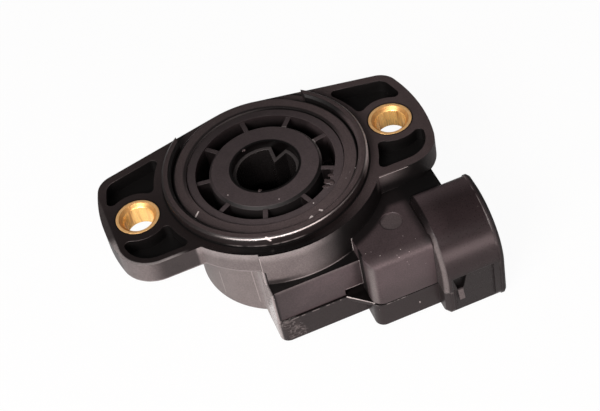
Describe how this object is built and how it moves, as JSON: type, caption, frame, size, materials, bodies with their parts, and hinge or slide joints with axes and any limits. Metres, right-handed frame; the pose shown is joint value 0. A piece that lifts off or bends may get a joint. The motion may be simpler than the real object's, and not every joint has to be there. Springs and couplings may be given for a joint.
{
  "type": "throttle position sensor",
  "caption": "Rotary throttle position sensor: eared plastic flange with brass screw bushes, spoked rotor inside a raised ring, rear cup and side plug socket.",
  "frame": {"origin": "on the rotor axis, in the plane of the mounting face", "axes": "+Z out of the mounting face along the rotor axis, +X along the line of the mounting holes towards the plug side, -Y towards the terminal block"},
  "size_m": [0.0512, 0.0391, 0.0196],
  "materials": {
    "black_plastic": "moulded, satin",
    "brass": "turned",
    "spring_metal": "rolled",
    "board": "fired",
    "carbon_film": "printed",
    "silver_film": "printed",
    "tinned_strip": "tinned"
  },
  "bodies": {
    "base": {"housing": "black_plastic", "rear_case": "black_plastic", "bush_left": "brass", "bush_right": "brass", "track_board": "board", "resistive_track": "carbon_film", "collector_track": "silver_film", "terminal_supply": "tinned_strip", "terminal_signal": "tinned_strip", "terminal_ground": "tinned_strip"},
    "rotor": {"rotor": "black_plastic", "drive_sleeve": "black_plastic", "wiper": "spring_metal"}
  },
  "joints": [
    {"name": "rotor_turn", "type": "hinge", "parent": "base", "child": "rotor", "pos_m": [0, 0, 0], "axis": [0, 0, 1], "range_deg": [0, 100]}
  ]
}
